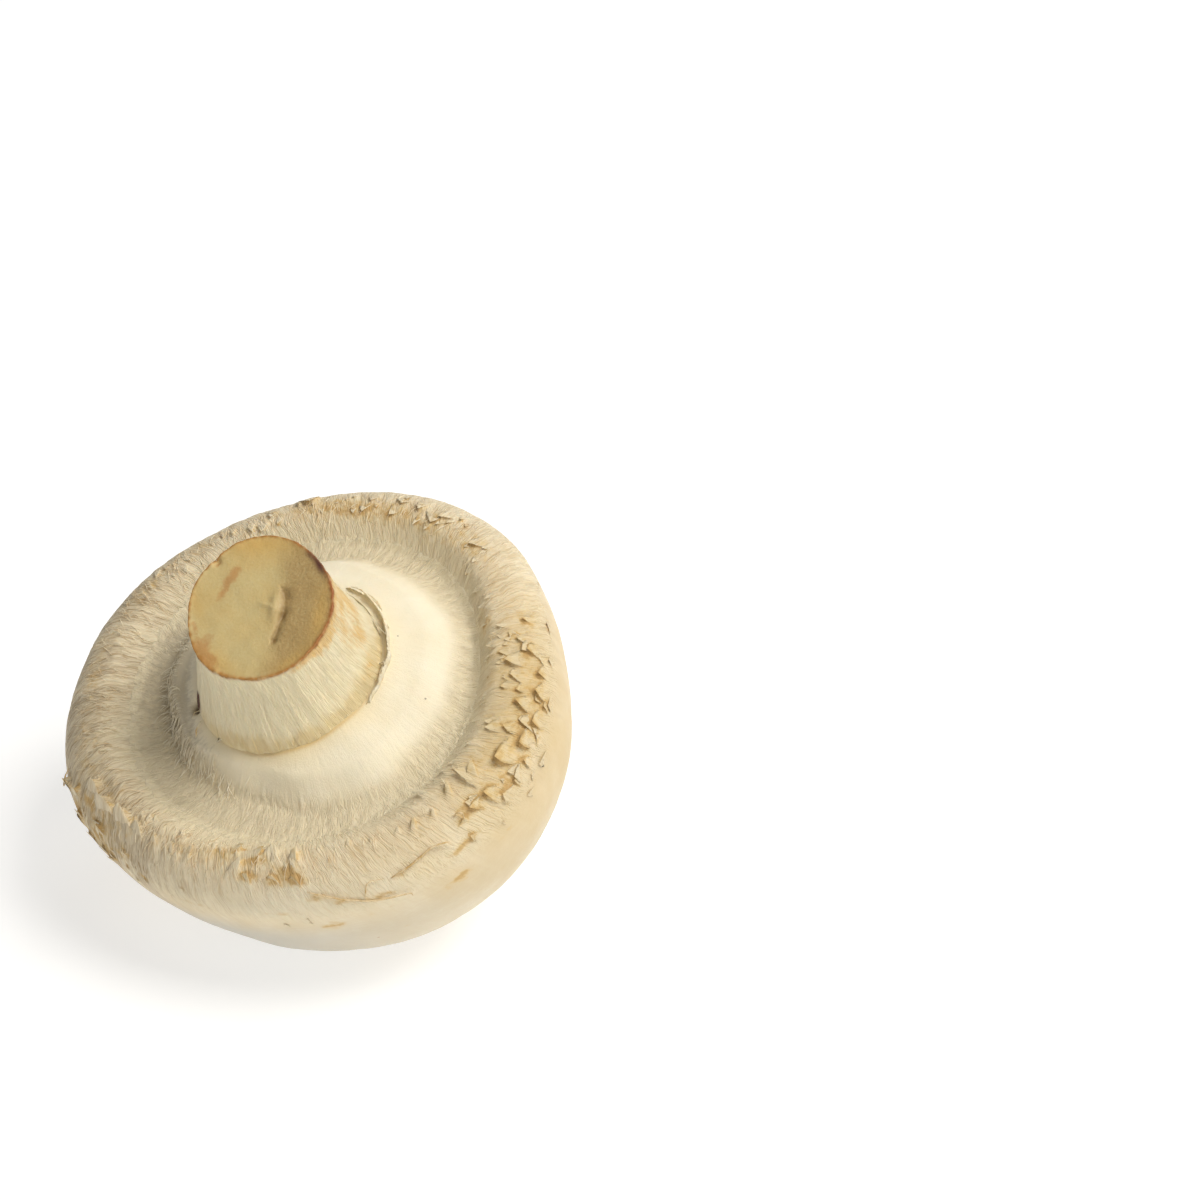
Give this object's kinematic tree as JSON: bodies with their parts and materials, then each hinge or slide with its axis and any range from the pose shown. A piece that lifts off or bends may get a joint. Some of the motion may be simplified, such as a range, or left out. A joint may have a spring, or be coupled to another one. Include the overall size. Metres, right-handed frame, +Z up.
{
  "type": "button mushroom",
  "caption": "Closed button mushroom lying on its domed cap, with a thick rolled margin, a closed fibrous veil and a trimmed, flared stem pointing up.",
  "frame": {"origin": "middle of the object's bounding box, at the height of the flat on the cap's dome that it rests on", "axes": "+Z up from the resting surface, -Y towards the viewer, +X to the viewer's right; the stem rises 26.2 degrees off +Z, leaning towards -X and -Y"},
  "size_m": [0.0614, 0.0578, 0.0484],
  "materials": {
    "cap_skin": "smooth off-white skin, matt with a faint waxy sheen, tan torn scales on the margin",
    "veil_fibre": "matt cream felt of fine radial threads",
    "stem_flesh": "fibrous cream skin, damp golden to grey-brown cut face"
  },
  "bodies": {
    "root": {"cap": "cap_skin", "veil": "veil_fibre", "stem": "stem_flesh"}
  },
  "joints": []
}
